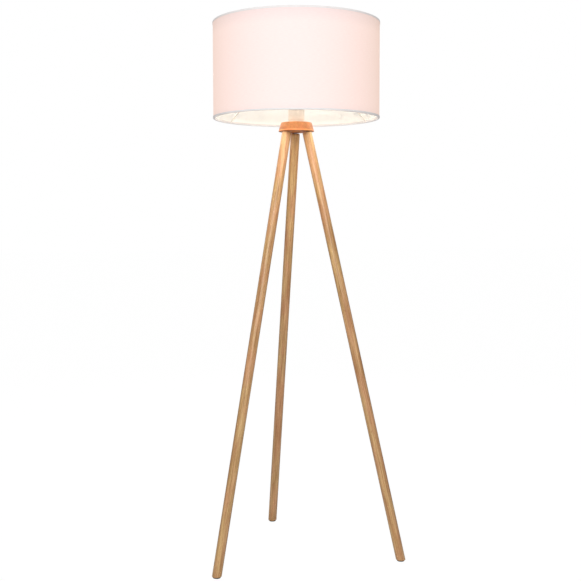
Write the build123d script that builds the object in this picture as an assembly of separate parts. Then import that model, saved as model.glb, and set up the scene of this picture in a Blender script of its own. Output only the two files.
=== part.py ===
"""Tripod floor lamp: three splayed wooden legs under a turned hub, with a lamp holder, a bulb and a drum shade.

Millimetres, +Z up. The origin is on the floor, under the lamp's own axis. The front is -Y: one leg goes
straight back and two go forwards, to the left and the right."""

import os
from math import atan2, cos, degrees, radians, sin, tan

from build123d import *

# Overall sizes
lamp_height = 1450.0
shade_diameter = 450.0
shade_height = 255.0
shade_over_hub = 34.0  # from the hub's flat underside up to the shade's bottom edge
foot_circle_radius = 292.5  # from the lamp's axis to the middle of each foot
leg_top_radius = 30.5  # the same at the hub's underside
leg_side_offset = 6.0  # how far each leg's axis passes beside the lamp's axis

# Legs and feet
leg_diameter = 25.0
leg_end_chamfer = 1.2
leg_seat_gap = 0.2  # over the highest point of the leg's square-cut top
leg_azimuths = {"front_left": -60.0, "front_right": 60.0, "back": 180.0}
pad_diameter = 20.0
pad_thickness = 3.0

# Hub
hub_height = 24.0
hub_top_diameter = 84.0
hub_bottom_diameter = 98.0
hub_edge_round = 1.5
hub_recess_diameter = 27.0
hub_recess_depth = 9.0

# Leg fastenings, M8
bolt_diameter = 8.0
bolt_share_of_hub = 0.75  # how much of the hub's height the bolt goes up
bolt_in_leg = 32.0
bolt_point_length = 5.0
bolt_thread_depth = 0.7
bolt_thread_pitch = 2.5
bolt_thread_shares = (0.1, 0.45, 0.6, 0.95)  # of a pitch: foot, crest, crest, foot
insert_diameter = 11.0
insert_length = 15.0
insert_recess = 2.0
insert_slot_width = 1.6
insert_slot_depth = 1.5
bolt_hole_spare = 2.0  # drilled past the end of the bolt

# Hollow threaded tube through the hub, M10
tube_diameter = 10.0
tube_bore = 8.0
tube_below_nut = 1.5
tube_above_floor = 4.5  # past the bottom wall of the holder
tube_edge_chamfer = 0.4
washer_diameter = 22.0
washer_thickness = 1.5
nut_across_flats = 14.0
nut_thickness = 4.5

# Lamp holder
holder_diameter = 43.0
holder_wall = 2.2
holder_floor = 3.0
holder_edge_round = 1.6
seat_width = 2.0  # the step that the shade's centre ring rests on
base_height = 15.0
joint_groove_width = 0.8
joint_groove_depth = 0.5
shoulder_height = 54.0  # from the hub's top to the seat of the shade
collar_height = 14.0  # the threaded part above the seat
collar_wall = 2.5
block_thickness = 8.0
block_above_floor = 22.0
shell_wall = 0.5
shell_height = 25.0
shell_seat_depth = 2.0
contact_thickness = 0.6
contact_width = 7.0
contact_length = 15.0
contact_spring_height = 2.0  # of the free space under its tongue
terminal_diameter = 3.5
terminal_head_diameter = 6.0
terminal_head_height = 2.0
terminal_head_gap = 0.5  # for the wire under the head
terminal_slot = 0.8
terminal_offset = 12.0
locking_screw_diameter = 3.0
locking_screw_length = 6.0

# Retaining ring
ring_wall = 8.0
ring_height = 8.0
ring_lobes = 18
ring_lobe_radius = 2.4

# Bulb, E27 screw cap
cap_diameter = 26.2
cap_height = 19.0
cap_wall = 0.4
cap_thread_depth = 0.8
cap_thread_pitch = 3.63
cap_thread_shares = (0.2, 0.5, 0.7, 1.0)  # of a pitch: foot, crest, crest, foot
insulator_height = 3.6
insulator_small_radius = 6.2
tip_radius = 4.6
tip_height = 1.6
tip_lip = 0.8  # how far its disc stands out past the stem
tip_stem_spare = 0.5  # from the stem's end to the cap's lower edge
housing_height = 40.0
housing_foot_radius = 14.2
housing_wall = 1.6
housing_neck = 6.0  # the part inside the cap
housing_waist_share = 0.35  # of the height, where the flare begins
housing_rim_lean = 0.35  # outwards for each millimetre upwards
globe_diameter = 60.0
globe_wall = 1.2
globe_cut_angle = 12.0  # from the ball's middle down to its cut, in degrees
board_diameter = 44.0
board_thickness = 1.6

# Shade
hem_thickness = 0.6
hem_corner_share = 0.9  # of the strip's thickness
hem_outside_height = 5.0
hem_inside_height = 6.0
hem_notch_clearance = 0.8  # beside and below each arm where it leaves the hem
fabric_thickness = 0.6
liner_thickness = 0.6
frame_wire = 3.5
arm_wire = 4.0
arm_slope = 42.0  # degrees up from the bottom ring to the level run
arm_bend_radius = 9.0
arm_azimuths = (-138.5, -18.5, 101.5)
arm_end_overlap = 2.0  # into the centre ring, before it is cut to fit
centre_ring_margin = 2.5  # outside the retaining ring
centre_ring_thickness = 1.5

# Clearances, on the radius or between faces
thread_clearance = 0.05  # a screw in its thread
running_clearance = 0.08  # a piece that turns on another
glue_gap = 0.05
layer_gap = 0.05  # between the wrapped layers of the shade
contact_gap = 0.1

# Heights that follow from the sizes above
shade_bottom = lamp_height - shade_height
hub_underside = shade_bottom - shade_over_hub
hub_top = hub_underside + hub_height
bolt_in_hub = bolt_share_of_hub * hub_height
shade_seat = hub_top + shoulder_height
holder_top = shade_seat + collar_height
block_bottom = hub_top + holder_floor + block_above_floor
block_top = block_bottom + block_thickness
shell_seat_bottom = block_top - shell_seat_depth
tip_bottom = block_top + 2 * contact_thickness + contact_gap + contact_spring_height
cap_bottom = tip_bottom + tip_height + insulator_height
cap_top = cap_bottom + cap_height
board_height = cap_top + housing_height
globe_middle = board_height + globe_diameter / 2 * sin(radians(globe_cut_angle))
recess_top = hub_underside + hub_recess_depth
tube_bottom = recess_top - washer_thickness - nut_thickness - tube_below_nut
tube_top = hub_top + holder_floor + tube_above_floor

# Radii and other sizes that follow
collar_diameter = holder_diameter - 2 * seat_width
ring_outer_diameter = collar_diameter + 2 * ring_wall
centre_ring_diameter = ring_outer_diameter + 2 * centre_ring_margin
shell_radius = cap_diameter / 2 + thread_clearance  # inside the screw shell
cap_root_radius = cap_diameter / 2 - cap_thread_depth
leg_radius = leg_diameter / 2
leg_splay = atan2(foot_circle_radius - leg_top_radius, hub_underside)
shade_radius = shade_diameter / 2
fabric_radius = shade_radius - hem_thickness - layer_gap
liner_radius = fabric_radius - fabric_thickness
liner_inside = liner_radius - liner_thickness
frame_ring_radius = liner_inside - layer_gap - frame_wire / 2
frame_ring_inset = hem_thickness + layer_gap + frame_wire / 2  # from the shade's end to the wire's middle
hem_inside = frame_ring_radius - frame_wire / 2 - layer_gap - hem_thickness


def tube(outer, inner, bottom, top):
    """A round tube on the lamp's axis, given its two radii and two heights."""
    ring = Cylinder(outer, top - bottom, align=(Align.CENTER, Align.CENTER, Align.MIN))
    ring -= Cylinder(inner, top - bottom, align=(Align.CENTER, Align.CENTER, Align.MIN))
    return Pos(0, 0, bottom) * ring


def rod(radius, bottom, top):
    """A round bar on the lamp's axis."""
    return Pos(0, 0, bottom) * Cylinder(radius, top - bottom, align=(Align.CENTER, Align.CENTER, Align.MIN))


def turned(outline):
    """A solid turned about the lamp's axis from an outline of (radius, height) points."""
    with BuildPart() as piece:
        with BuildSketch(Plane.XZ):
            with BuildLine():
                Polyline(*outline, close=True)
            make_face()
        revolve(axis=Axis.Z)
    return piece.part


def on_leg(azimuth):
    """The frame of one leg: its Z runs up the leg's axis, from where that axis meets the hub's underside."""
    spot = Pos(-leg_side_offset, -leg_top_radius, hub_underside)
    return Rot(0, 0, azimuth) * spot * Rot(-degrees(leg_splay), 0, 0)


def leg_top_drop():
    """How far down its axis the leg's square-cut top lies, so that its outer edge just clears the hub."""
    edge = (leg_radius - leg_end_chamfer) * sin(leg_splay)
    return (edge + leg_seat_gap) / cos(leg_splay)


def foot_centre(azimuth):
    """The middle of one foot pad on the floor."""
    level = pad_thickness
    radius = leg_top_radius + (hub_underside - level) * tan(leg_splay)
    return Rot(0, 0, azimuth) * Pos(-leg_side_offset, -radius, 0)


def make_leg(azimuth):
    length = hub_underside / cos(leg_splay) + leg_diameter
    top = leg_top_drop()
    blank = rod(leg_radius, -length, -top)
    blank = chamfer(blank.faces().sort_by(Axis.Z)[-1].edges(), leg_end_chamfer)
    hole_depth = bolt_in_leg + bolt_hole_spare
    hole = Cylinder(
        bolt_diameter / 2 + glue_gap,
        hole_depth + top,
        align=(Align.CENTER, Align.CENTER, Align.MAX),
    )
    leg = on_leg(azimuth) * (blank - hole)
    floor_cut = Pos(0, 0, pad_thickness) * Box(
        4 * foot_circle_radius,
        4 * foot_circle_radius,
        4 * leg_diameter,
        align=(Align.CENTER, Align.CENTER, Align.MAX),
    )
    leg -= floor_cut
    return chamfer(leg.faces().sort_by(Axis.Z)[0].edges(), leg_end_chamfer)


def make_pad(azimuth):
    disc = Cylinder(pad_diameter / 2, pad_thickness, align=(Align.CENTER, Align.CENTER, Align.MIN))
    return foot_centre(azimuth) * disc


def thread_outline(crest, root, pitch, shares, bottom, turns):
    """The (radius, height) points of a thread drawn as a row of rings."""
    points = []
    for turn in range(turns):
        start = bottom + turn * pitch
        for radius, share in zip((root, crest, crest, root), shares):
            points.append((radius, start + share * pitch))
    return points


def make_hanger_bolt(azimuth):
    radius = bolt_diameter / 2
    wood_end = -bolt_in_leg - leg_top_drop()
    point = turned(
        [
            (0, wood_end),
            (radius - bolt_thread_depth, wood_end + bolt_point_length),
            (0, wood_end + bolt_point_length),
        ]
    )
    start = wood_end + bolt_point_length
    end = -leg_top_drop()
    root = radius - bolt_thread_depth
    turns = int((end - start) / bolt_thread_pitch)
    thread = thread_outline(radius, root, bolt_thread_pitch, bolt_thread_shares, start, turns)
    wood = turned([(0, start), (root, start), *thread, (root, end), (0, end)])
    shank = rod(radius - thread_clearance, -leg_top_drop(), bolt_in_hub)
    return on_leg(azimuth) * (point + wood + shank)


def make_insert(azimuth):
    top = insert_recess + insert_length
    sleeve = tube(insert_diameter / 2 - glue_gap, bolt_diameter / 2, insert_recess, top)
    slot = Pos(0, 0, insert_recess) * Box(
        insert_diameter,
        insert_slot_width,
        insert_slot_depth,
        align=(Align.CENTER, Align.CENTER, Align.MIN),
    )
    return on_leg(azimuth) * (sleeve - slot)


def make_hub():
    bottom_radius = hub_bottom_diameter / 2
    top_radius = hub_top_diameter / 2
    body = turned(
        [
            (0, hub_underside),
            (bottom_radius, hub_underside),
            (top_radius, hub_top),
            (0, hub_top),
        ]
    )
    body = fillet(body.edges().filter_by(GeomType.CIRCLE), hub_edge_round)
    body -= rod(tube_diameter / 2 + glue_gap, hub_underside, hub_top)
    body -= rod(hub_recess_diameter / 2, hub_underside, recess_top)
    depth = max(insert_recess + insert_length, bolt_in_hub + bolt_hole_spare)
    for azimuth in leg_azimuths.values():
        wide = rod(insert_diameter / 2, -insert_diameter, insert_recess + insert_length)
        narrow = rod(bolt_diameter / 2 + glue_gap, 0, depth)
        body -= on_leg(azimuth) * (wide + narrow)
    return body


def make_cord_tube():
    pipe = tube(tube_diameter / 2, tube_bore / 2, tube_bottom, tube_top)
    between = (tube_diameter + tube_bore) / 4
    outer = pipe.edges().filter_by(GeomType.CIRCLE).filter_by(lambda e: e.radius > between)
    return chamfer(outer, tube_edge_chamfer)


def make_tube_nut():
    height = recess_top - washer_thickness - nut_thickness
    with BuildPart() as nut:
        with BuildSketch(Plane.XY.offset(height)):
            RegularPolygon(nut_across_flats / 2, 6, major_radius=False)
            Circle(tube_diameter / 2 + thread_clearance, mode=Mode.SUBTRACT)
        extrude(amount=nut_thickness)
    return nut.part


def make_holder_base():
    """The lower cap, screwed on the hollow tube. Its wall carries the locking screw."""
    outer = holder_diameter / 2
    top = hub_top + base_height
    cap = rod(outer, hub_top, top)
    cap = fillet(cap.edges().filter_by(GeomType.CIRCLE).group_by(Axis.Z)[0], holder_edge_round)
    cap -= rod(outer - holder_wall, hub_top + holder_floor, top)
    cap -= rod(tube_diameter / 2 + thread_clearance, hub_top, hub_top + holder_floor)
    boss_radius = tube_diameter / 2 + holder_wall
    boss = tube(
        boss_radius,
        tube_diameter / 2 + thread_clearance,
        hub_top + holder_floor,
        tube_top - tube_edge_chamfer,
    )
    cap += boss
    return cap - locking_screw_space(thread_clearance)


def locking_screw_space(clearance):
    """The locking screw runs level through the boss to the hollow tube."""
    start = tube_diameter / 2 + glue_gap
    height = hub_top + holder_floor + (tube_above_floor - tube_edge_chamfer) / 2
    screw = Cylinder(
        locking_screw_diameter / 2 + clearance,
        locking_screw_length,
        align=(Align.CENTER, Align.CENTER, Align.MIN),
    )
    return Pos(0, start, height) * Rot(-90, 0, 0) * screw


def make_holder_shell():
    """The upper shell: a smooth barrel, the seat of the shade, and the collar for the retaining ring."""
    outer = holder_diameter / 2
    bottom = hub_top + base_height
    collar = collar_diameter / 2
    barrel_inside = outer - holder_wall
    outline = [
        (barrel_inside, bottom),
        (outer - joint_groove_depth, bottom),
        (outer - joint_groove_depth, bottom + joint_groove_width),
        (outer, bottom + joint_groove_width),
        (outer, shade_seat),
        (collar, shade_seat),
        (collar, holder_top),
        (collar - collar_wall, holder_top),
        (collar - collar_wall, shade_seat - holder_wall),
        (barrel_inside, shade_seat - holder_wall),
    ]
    return turned(outline)


def make_contact_block():
    """The ceramic block that carries the contacts. It rests on a ledge of the barrel's foot."""
    radius = holder_diameter / 2 - holder_wall - running_clearance
    block = rod(radius, block_bottom, block_top)
    shell_seat = tube(
        shell_radius + shell_wall + thread_clearance,
        shell_radius - thread_clearance,
        shell_seat_bottom,
        block_top,
    )
    block -= shell_seat
    for side in (-1, 1):
        hole = rod(terminal_diameter / 2 + thread_clearance, block_bottom, shell_seat_bottom)
        block -= Pos(0, side * terminal_offset, 0) * hole
    return block


def make_screw_shell():
    bottom = shell_seat_bottom + contact_gap / 2
    return tube(shell_radius + shell_wall, shell_radius, bottom, bottom + shell_height)


def make_centre_contact():
    """A strip of spring brass: a flat foot on the block, a rise, and a tongue under the tip of the bulb."""
    foot = Pos(-contact_length / 2, 0, block_top) * Box(
        contact_length / 2,
        contact_width,
        contact_thickness,
        align=(Align.MIN, Align.CENTER, Align.MIN),
    )
    tongue_bottom = tip_bottom - contact_gap - contact_thickness
    rise = Pos(-contact_length / 2, 0, block_top) * Box(
        contact_thickness,
        contact_width,
        tongue_bottom - block_top + contact_thickness,
        align=(Align.MIN, Align.CENTER, Align.MIN),
    )
    tongue = Pos(-contact_length / 2, 0, tongue_bottom) * Box(
        contact_length,
        contact_width,
        contact_thickness,
        align=(Align.MIN, Align.CENTER, Align.MIN),
    )
    return foot + rise + tongue


def make_terminal_screw(side):
    head_top = block_bottom - terminal_head_gap
    head_bottom = head_top - terminal_head_height
    stem = rod(terminal_diameter / 2, head_top, shell_seat_bottom - contact_gap)
    head = rod(terminal_head_diameter / 2, head_bottom, head_top)
    slot = Pos(0, 0, head_bottom) * Box(
        terminal_head_diameter,
        terminal_slot,
        terminal_slot,
        align=(Align.CENTER, Align.CENTER, Align.MIN),
    )
    return Pos(0, side * terminal_offset, 0) * (stem + head - slot)


def make_retaining_ring():
    bottom = shade_seat + centre_ring_thickness
    ring = tube(
        ring_outer_diameter / 2,
        collar_diameter / 2 + thread_clearance,
        bottom,
        bottom + ring_height,
    )
    lobe = rod(ring_lobe_radius, bottom, bottom + ring_height)
    for turn in range(ring_lobes):
        angle = 360.0 * turn / ring_lobes
        ring -= Rot(0, 0, angle) * Pos(ring_outer_diameter / 2 + ring_lobe_radius / 2, 0, 0) * lobe
    return ring


def make_bulb_cap():
    """The bulb's screw cap: a thin shell with the rounded thread of an E27 cap."""
    turns = int(cap_height / cap_thread_pitch) - 1
    thread = thread_outline(
        cap_diameter / 2,
        cap_root_radius,
        cap_thread_pitch,
        cap_thread_shares,
        cap_bottom,
        turns,
    )
    outside = [(cap_root_radius, cap_bottom), *thread, (cap_root_radius, cap_top)]
    inside = [(cap_root_radius - cap_wall, cap_top), (cap_root_radius - cap_wall, cap_bottom)]
    return turned(outside + inside)


def make_bulb_insulator():
    outline = [
        (tip_radius, cap_bottom - insulator_height),
        (insulator_small_radius, cap_bottom - insulator_height),
        (cap_root_radius, cap_bottom),
        (tip_radius, cap_bottom),
    ]
    return turned(outline)


def make_bulb_tip():
    """The contact tip: a low disc under the insulator, with a stem through it."""
    disc = rod(tip_radius + tip_lip, tip_bottom, tip_bottom + tip_height)
    disc = fillet(disc.edges().filter_by(GeomType.CIRCLE).group_by(Axis.Z)[0], tip_height / 2)
    stem = rod(tip_radius - running_clearance, tip_bottom + tip_height, cap_bottom - tip_stem_spare)
    return disc + stem


def make_bulb_housing():
    """The white plastic body between the cap and the globe. It flares out from the cap in a hollow curve."""
    rim = globe_diameter / 2 * cos(radians(globe_cut_angle))
    neck = cap_root_radius - cap_wall - glue_gap
    neck_inside = neck - housing_wall
    neck_end = cap_top - housing_neck
    waist = cap_top + housing_waist_share * housing_height
    with BuildPart() as body:
        with BuildSketch(Plane.XZ):
            with BuildLine():
                Line((neck_inside, neck_end), (neck, neck_end))
                Line((neck, neck_end), (neck, cap_top))
                Line((neck, cap_top), (housing_foot_radius, cap_top))
                Spline(
                    (housing_foot_radius, cap_top),
                    (housing_foot_radius + housing_wall, waist),
                    (rim, board_height),
                    tangents=((0, 1), (housing_rim_lean, 1)),
                )
                Line((rim, board_height), (rim - housing_wall, board_height))
                Spline(
                    (rim - housing_wall, board_height),
                    (housing_foot_radius, waist),
                    (neck_inside, cap_top),
                    tangents=((-housing_rim_lean, -1), (0, -1)),
                )
                Line((neck_inside, cap_top), (neck_inside, neck_end))
            make_face()
        revolve(axis=Axis.Z)
    return body.part


def make_bulb_globe():
    """The opal ball, cut off level where it sits on the housing."""
    radius = globe_diameter / 2
    ball = Pos(0, 0, globe_middle) * (Sphere(radius) - Sphere(radius - globe_wall))
    below = Pos(0, 0, board_height) * Box(
        globe_diameter * 2,
        globe_diameter * 2,
        globe_diameter * 2,
        align=(Align.CENTER, Align.CENTER, Align.MAX),
    )
    return ball - below


def make_light_board():
    return rod(board_diameter / 2, board_height, board_height + board_thickness)


def frame_ring(height):
    return Pos(0, 0, height) * Torus(frame_ring_radius, frame_wire / 2)


def make_hem(end, inward):
    """A folded strip over one edge of the shade, in a U around the frame's wire.

    inward is +1 where the U opens upwards and -1 where it opens downwards."""
    outline = [
        (shade_radius - hem_thickness, end + inward * hem_thickness),
        (shade_radius - hem_thickness, end + inward * hem_outside_height),
        (shade_radius, end + inward * hem_outside_height),
        (shade_radius, end),
        (hem_inside, end),
        (hem_inside, end + inward * hem_inside_height),
        (hem_inside + hem_thickness, end + inward * hem_inside_height),
        (hem_inside + hem_thickness, end + inward * hem_thickness),
    ]
    hem = turned(outline)
    corners = hem.edges().filter_by(GeomType.CIRCLE)
    corners = corners.filter_by(lambda e: abs(e.center().Z - end) < layer_gap)
    return fillet(corners, hem_thickness * hem_corner_share)


def notch_for_arms(hem):
    """Cuts the inner fold of the bottom hem where each arm leaves the bottom ring."""
    width = arm_wire + 2 * hem_notch_clearance
    rise = (frame_wire / 2 + layer_gap) * tan(radians(arm_slope))
    under_arm = arm_wire / 2 / cos(radians(arm_slope))
    low = shade_bottom + frame_ring_inset + rise - under_arm - hem_notch_clearance
    notch = Pos(0, -hem_inside, max(low, shade_bottom + hem_thickness)) * Box(
        width,
        4 * hem_thickness,
        2 * hem_inside_height,
        align=(Align.CENTER, Align.CENTER, Align.MIN),
    )
    for azimuth in arm_azimuths:
        hem -= Rot(0, 0, azimuth) * notch
    return hem


def make_arm(azimuth, bottom_wire):
    """A wire from the bottom ring, up a slope and level to the centre ring, butt-welded at both ends."""
    level = shade_seat + centre_ring_thickness / 2
    low = shade_bottom + frame_ring_inset
    run = (level - low) / tan(radians(arm_slope))
    inner_end = centre_ring_diameter / 2 - arm_end_overlap
    path = FilletPolyline(
        (0, -frame_ring_radius, low),
        (0, -frame_ring_radius + run, level),
        (0, -inner_end, level),
        radius=arm_bend_radius,
    )
    section = Plane(origin=path @ 0, z_dir=path % 0) * Circle(arm_wire / 2)
    wire = Rot(0, 0, azimuth) * sweep(section, path=path)
    wire -= bottom_wire
    wire -= rod(centre_ring_diameter / 2, level - arm_wire, level + arm_wire)
    outside = tube(2 * shade_radius, frame_ring_radius, hub_underside, lamp_height)
    pieces = (wire - outside).solids()
    return max(pieces, key=lambda piece: piece.volume)


def make_centre_ring():
    return tube(
        centre_ring_diameter / 2,
        collar_diameter / 2 + running_clearance,
        shade_seat,
        shade_seat + centre_ring_thickness,
    )


def make_wall(outer, inner):
    """One layer of the shade's wall, between the two hems' folds."""
    bottom = shade_bottom + hem_thickness + layer_gap
    top = lamp_height - hem_thickness - layer_gap
    return tube(outer, inner, bottom, top)


def build():
    nodes = {"hub": make_hub()}
    for place, azimuth in leg_azimuths.items():
        nodes[f"leg_{place}"] = make_leg(azimuth)
        nodes[f"foot_pad_{place}"] = make_pad(azimuth)
    nodes["hanger_bolts"] = [make_hanger_bolt(azimuth) for azimuth in leg_azimuths.values()]
    nodes["hub_inserts"] = [make_insert(azimuth) for azimuth in leg_azimuths.values()]
    nodes["cord_tube"] = make_cord_tube()
    nodes["tube_washer"] = tube(
        washer_diameter / 2,
        tube_diameter / 2 + thread_clearance,
        recess_top - washer_thickness,
        recess_top,
    )
    nodes["tube_nut"] = make_tube_nut()
    nodes["holder_base"] = make_holder_base()
    nodes["locking_screw"] = locking_screw_space(0)
    nodes["holder_shell"] = make_holder_shell()
    nodes["contact_block"] = make_contact_block()
    nodes["screw_shell"] = make_screw_shell()
    nodes["centre_contact"] = make_centre_contact()
    nodes["terminal_screws"] = [make_terminal_screw(side) for side in (-1, 1)]
    nodes["retaining_ring"] = make_retaining_ring()
    nodes["bulb_cap"] = make_bulb_cap()
    nodes["bulb_insulator"] = make_bulb_insulator()
    nodes["bulb_tip"] = make_bulb_tip()
    nodes["bulb_housing"] = make_bulb_housing()
    nodes["bulb_globe"] = make_bulb_globe()
    nodes["light_board"] = make_light_board()
    nodes["shade_fabric"] = make_wall(fabric_radius, liner_radius)
    nodes["shade_liner"] = make_wall(liner_radius, liner_inside)
    bottom_wire = frame_ring(shade_bottom + frame_ring_inset)
    nodes["bottom_ring"] = bottom_wire
    nodes["top_ring"] = frame_ring(lamp_height - frame_ring_inset)
    nodes["bottom_hem"] = notch_for_arms(make_hem(shade_bottom, 1))
    nodes["top_hem"] = make_hem(lamp_height, -1)
    nodes["centre_ring"] = make_centre_ring()
    for number, azimuth in enumerate(arm_azimuths, start=1):
        nodes[f"shade_arm_{number}"] = make_arm(azimuth, bottom_wire)
    return nodes


def main():
    os.makedirs("parts", exist_ok=True)
    for name, piece in build().items():
        shape = Compound(children=list(piece)) if isinstance(piece, list) else piece
        export_step(shape, f"parts/{name}.step")


main()
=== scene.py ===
"""Looks of a tripod floor lamp, laid out as a Blender add-on and run as a script.

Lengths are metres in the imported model's own frame: +Z up, the floor at zero, the lamp's axis at X = Y = 0."""

import math

import bmesh
import bpy
from mathutils import Euler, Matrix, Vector


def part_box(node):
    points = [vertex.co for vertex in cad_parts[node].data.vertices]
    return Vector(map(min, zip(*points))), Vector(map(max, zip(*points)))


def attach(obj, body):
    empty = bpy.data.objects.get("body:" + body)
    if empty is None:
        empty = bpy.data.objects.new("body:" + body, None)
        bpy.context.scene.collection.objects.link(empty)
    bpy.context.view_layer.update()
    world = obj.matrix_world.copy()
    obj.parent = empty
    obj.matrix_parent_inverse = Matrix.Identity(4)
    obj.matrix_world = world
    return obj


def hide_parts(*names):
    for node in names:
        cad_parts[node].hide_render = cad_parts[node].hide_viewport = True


bl_info = {
    "name": "Tripod floor lamp",
    "version": (1, 0, 0),
    "blender": (4, 5, 0),
    "location": "3D View > Sidebar > Lamp",
    "description": "Models and dresses the pieces of a wooden tripod floor lamp",
    "category": "Add Mesh",
}

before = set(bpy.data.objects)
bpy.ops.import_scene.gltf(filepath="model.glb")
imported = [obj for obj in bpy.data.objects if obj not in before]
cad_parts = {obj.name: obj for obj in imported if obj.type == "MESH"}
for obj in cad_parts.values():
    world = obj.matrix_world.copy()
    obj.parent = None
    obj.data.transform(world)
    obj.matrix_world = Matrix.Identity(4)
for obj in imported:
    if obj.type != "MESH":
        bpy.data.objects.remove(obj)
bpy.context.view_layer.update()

MM = 0.001
WAVE_RADIANS = 20.0  # a wave texture of scale 1 runs through this many radians in a metre
PLASTIC_IOR = 1.5
HANDLING_SIZE = 40  # how many grains of a finish a patch of slightly other tone is across
FULL_TURN = 2 * math.pi
UP = Vector((0, 0, 1))
FACING = 0.999  # cosine from which a face counts as facing a direction
SAME_PLACE = 0.001 * MM  # points nearer than this are one point
FIT = 0.05 * MM  # radial gap between pieces that slide over each other
LEG_RADIUS = 12.5 * MM
COLLAR_STEP = 2.0 * MM  # from the holder's side in to the thread of its collar
HOLDER_WALL = 2.2 * MM
LEGS = ("front_left", "front_right", "back")
ARMS = (1, 2, 3)


# ---------------------------------------------------------------- colour and nodes


def linear(code):
    """An sRGB hex colour as linear red, green and blue."""
    channels = [int(code[i : i + 2], 16) / 255 for i in (1, 3, 5)]
    return tuple(c / 12.92 if c <= 0.04045 else ((c + 0.055) / 1.055) ** 2.4 for c in channels)


def opaque(colour):
    return (*colour, 1.0)


def scaled(colour, share):
    return tuple(min(1.0, c * share) for c in colour)


def add(tree, kind, inputs=None, **settings):
    """Adds a node with its settings. Each input is a plain value, or a socket that is linked to it."""
    made = tree.nodes.new(kind)
    for name, value in settings.items():
        setattr(made, name, value)
    for name, value in (inputs or {}).items():
        if isinstance(value, bpy.types.NodeSocket):
            tree.links.new(value, made.inputs[name])
        else:
            made.inputs[name].default_value = value
    return made


def stripes(spacing):
    """The scale at which a wave texture repeats every so many metres."""
    return FULL_TURN / (WAVE_RADIANS * spacing)


def blank(name):
    """A new material and its emptied node tree."""
    material = bpy.data.materials.new(name)
    material.use_nodes = True
    material.node_tree.nodes.clear()
    return material, material.node_tree


def surface(tree, socket):
    out = tree.nodes.new("ShaderNodeOutputMaterial")
    tree.links.new(socket, out.inputs["Surface"])


def ramp(tree, fac, stops):
    """A colour ramp through (position, linear colour) stops."""
    made = add(tree, "ShaderNodeValToRGB", {"Fac": fac})
    elements = made.color_ramp.elements
    while len(elements) < len(stops):
        elements.new(1.0)
    for element, (position, colour) in zip(elements, stops):
        element.position = position
        element.color = opaque(colour)
    return made.outputs["Color"]


def mapped(tree, vector, kind="POINT", **inputs):
    """Coordinates moved, turned or scaled by the inputs location, rotation and scale."""
    named = {"Vector": vector, **{name.title(): value for name, value in inputs.items()}}
    return add(tree, "ShaderNodeMapping", named, vector_type=kind).outputs["Vector"]


def noise(tree, vector, scale, detail=3.0):
    made = add(tree, "ShaderNodeTexNoise", {"Vector": vector, "Scale": scale, "Detail": detail})
    return made.outputs["Fac"]


def drawn_out_noise(tree, place, across, along, shift=(0, 0, 0), detail=3.0):
    """Noise drawn out along Z, with features about so many metres wide and long."""
    scale = (1 / across, 1 / across, 1 / along)
    return noise(tree, mapped(tree, place, location=shift, scale=scale), 1.0, detail)


def calculate(tree, operation, *values):
    made = add(tree, "ShaderNodeMath", dict(enumerate(values)), operation=operation)
    return made.outputs["Value"]


def mixed_colour(tree, fac, first, second, blend="MIX"):
    made = add(tree, "ShaderNodeMixRGB", {"Fac": fac, "Color1": first, "Color2": second}, blend_type=blend)
    return made.outputs["Color"]


def between(tree, value, low, high):
    return add(tree, "ShaderNodeMapRange", {"Value": value, "To Min": low, "To Max": high}).outputs["Result"]


def bumped(tree, height, strength, distance):
    made = add(tree, "ShaderNodeBump", {"Height": height, "Strength": strength, "Distance": distance})
    return made.outputs["Normal"]


# ---------------------------------------------------------------- sizes and colours to change


class LampSizes(bpy.types.PropertyGroup):
    thread_spacing: bpy.props.FloatProperty(
        name="Thread spacing",
        description="From one thread of the shade's cloth to the next. Real cloth has about half of this",
        default=1.0 * MM,
        unit="LENGTH",
    )
    cloth_lap: bpy.props.FloatProperty(
        name="Cloth lap",
        description="How far the cloth's end is glued over its beginning",
        default=10.0 * MM,
        unit="LENGTH",
    )
    cloth_thickness: bpy.props.FloatProperty(
        name="Cloth thickness",
        description="Thickness of the cloth on the shade",
        default=0.28 * MM,
        unit="LENGTH",
    )
    ring_spacing: bpy.props.FloatProperty(
        name="Growth ring spacing",
        description="From one growth ring of the beech to the next",
        default=2.6 * MM,
        unit="LENGTH",
    )
    leg_end_round: bpy.props.FloatProperty(
        name="Leg end round",
        description="Rounding of the rims at both ends of each leg",
        default=1.4 * MM,
        unit="LENGTH",
    )
    hub_round: bpy.props.FloatProperty(
        name="Hub round",
        description="Rounding of the hub's rims",
        default=1.5 * MM,
        unit="LENGTH",
    )
    moulding_round: bpy.props.FloatProperty(
        name="Moulding round",
        description="Rounding of the edges of moulded plastic",
        default=0.5 * MM,
        unit="LENGTH",
    )


def colour_property(name, description, code):
    return bpy.props.FloatVectorProperty(
        name=name, description=description, subtype="COLOR", default=linear(code), min=0.0, max=1.0
    )


class LampColours(bpy.types.PropertyGroup):
    wood_light: colour_property("Early wood", "Pale part of the beech", "#D9B486")
    wood_dark: colour_property("Late wood", "Darker lines in the beech", "#B58554")
    cloth: colour_property("Cloth", "White cloth of the shade", "#A3A4B3")
    cloth_glow: colour_property("Cloth glow", "Light that comes through the shade", "#DFBEA8")
    backing: colour_property("Backing", "White sheet inside the shade", "#F4F3F0")
    hem: colour_property("Hem", "Strip folded over the shade's edges", "#D2CFCE")
    plastic: colour_property("Plastic", "Holder, ring and the bulb's body", "#E4DBD0")
    lamplight: colour_property("Lamplight", "Colour of the bulb's light", "#FFF5E6")
    hub_light: colour_property("Hub, early wood", "Pale part of the hub's wood", "#D98B49")
    hub_dark: colour_property("Hub, late wood", "Darker lines in the hub's wood", "#C27634")


# ---------------------------------------------------------------- materials


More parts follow.
